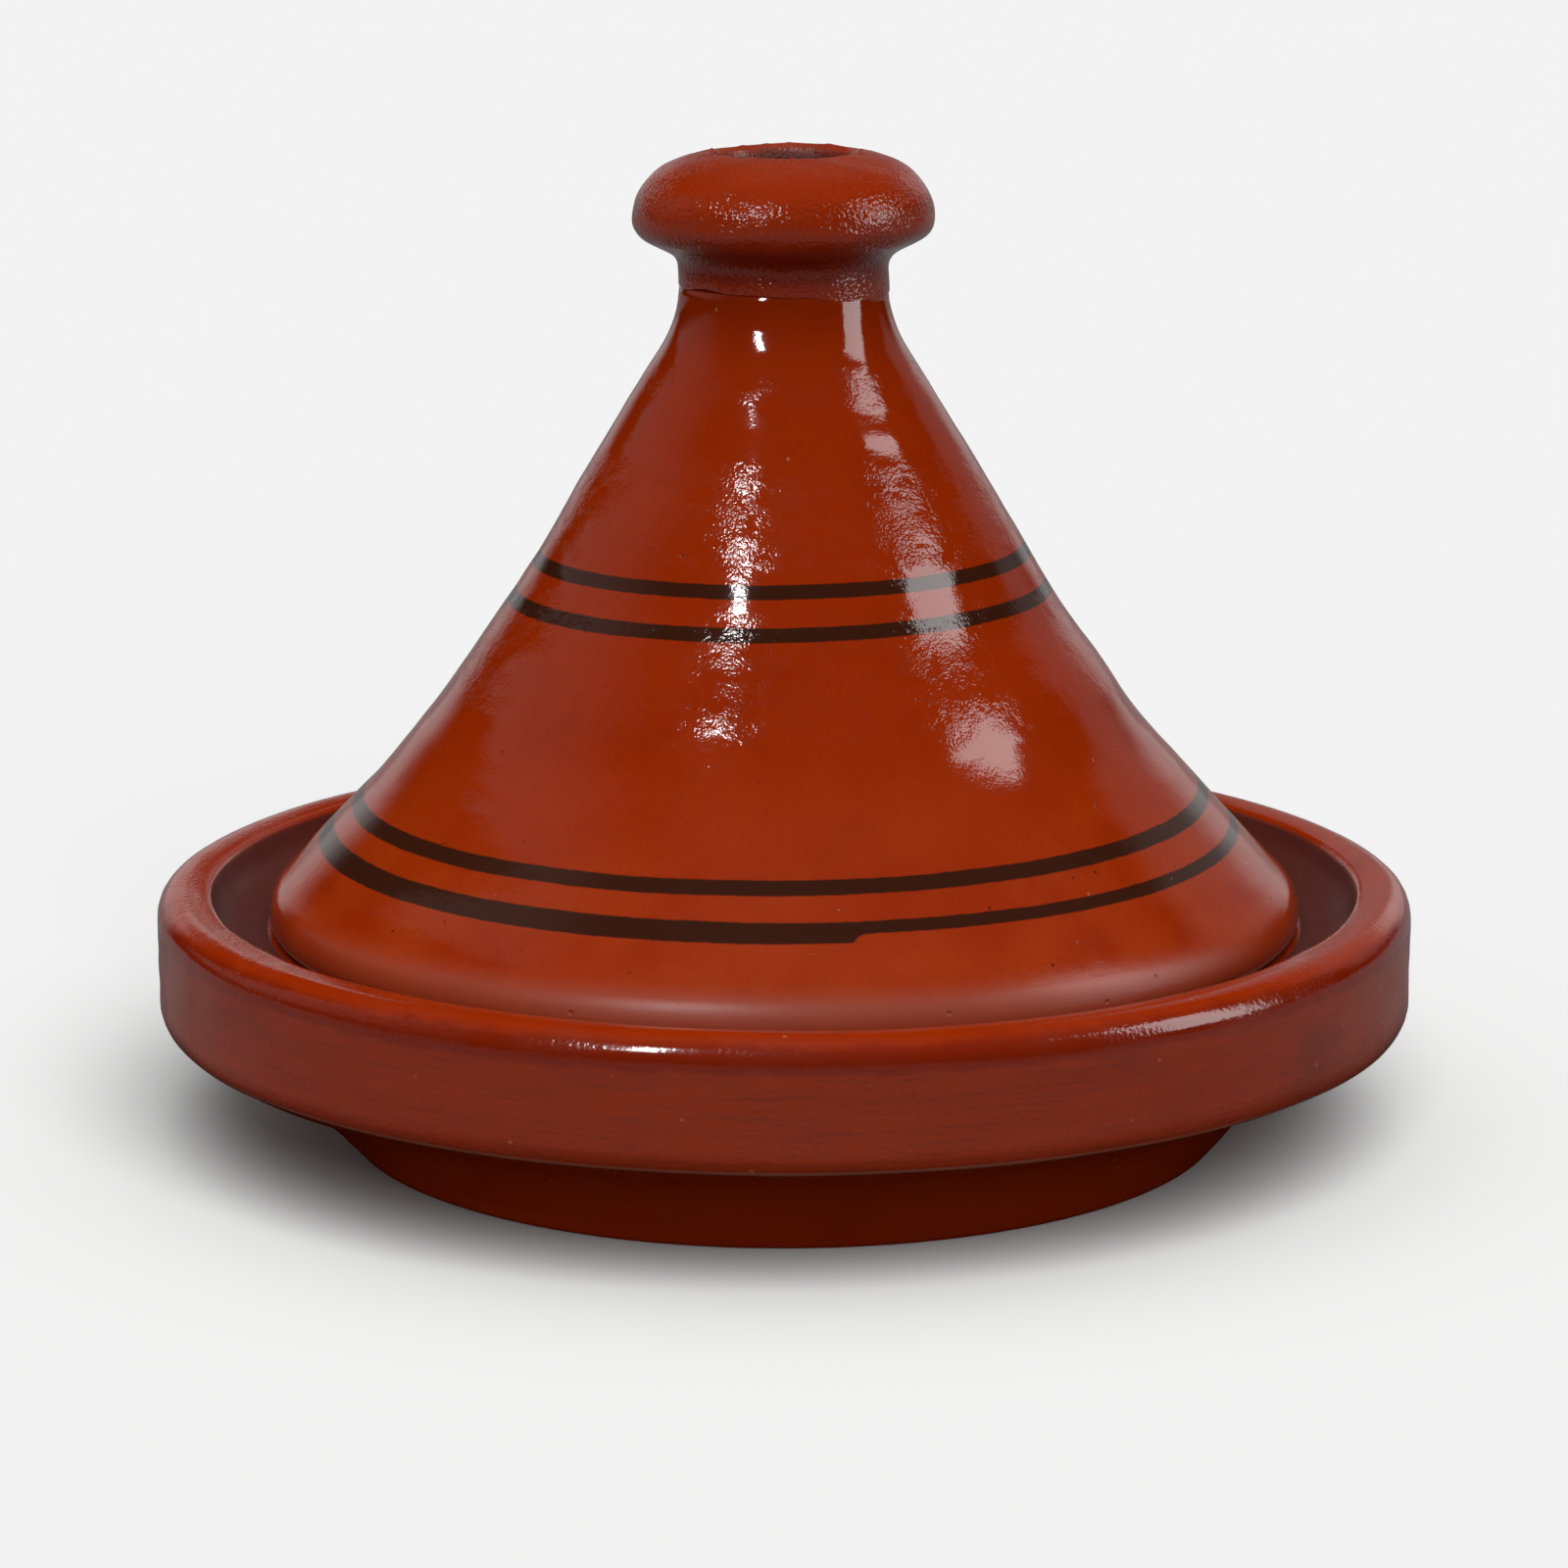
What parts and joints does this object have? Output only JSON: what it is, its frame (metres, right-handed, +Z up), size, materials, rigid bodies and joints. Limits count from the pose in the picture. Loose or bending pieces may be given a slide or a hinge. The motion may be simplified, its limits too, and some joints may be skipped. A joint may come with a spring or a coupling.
{
  "type": "tagine pot",
  "caption": "Glazed clay tagine: shallow round dish with a thick rim and inner ledge, and a lift-off conical lid with a cup-shaped knob.",
  "frame": {"origin": "middle of the dish's flat underside, on the axis that all pieces are turned about", "axes": "+Z up, the axis of the dish and lid and the way the lid lifts off; the seam of the painted lines faces -Y, slightly towards +X"},
  "size_m": [0.305, 0.305, 0.2381],
  "materials": {
    "dish_glaze": "satin red-brown glaze on fired clay, bare matt clay under the foot",
    "lid_glaze": "glossy orange-red glaze on fired clay, with thin dark painted lines",
    "knob_glaze": "glossy orange-red glaze on fired clay"
  },
  "bodies": {
    "base": {"base_dish": "dish_glaze"},
    "lid": {"lid_cone": "lid_glaze", "lid_knob": "knob_glaze"}
  },
  "joints": [
    {"name": "lid_lift", "type": "slide", "parent": "base", "child": "lid", "axis": [0, 0, 1], "range_m": [0, 0.15]}
  ]
}
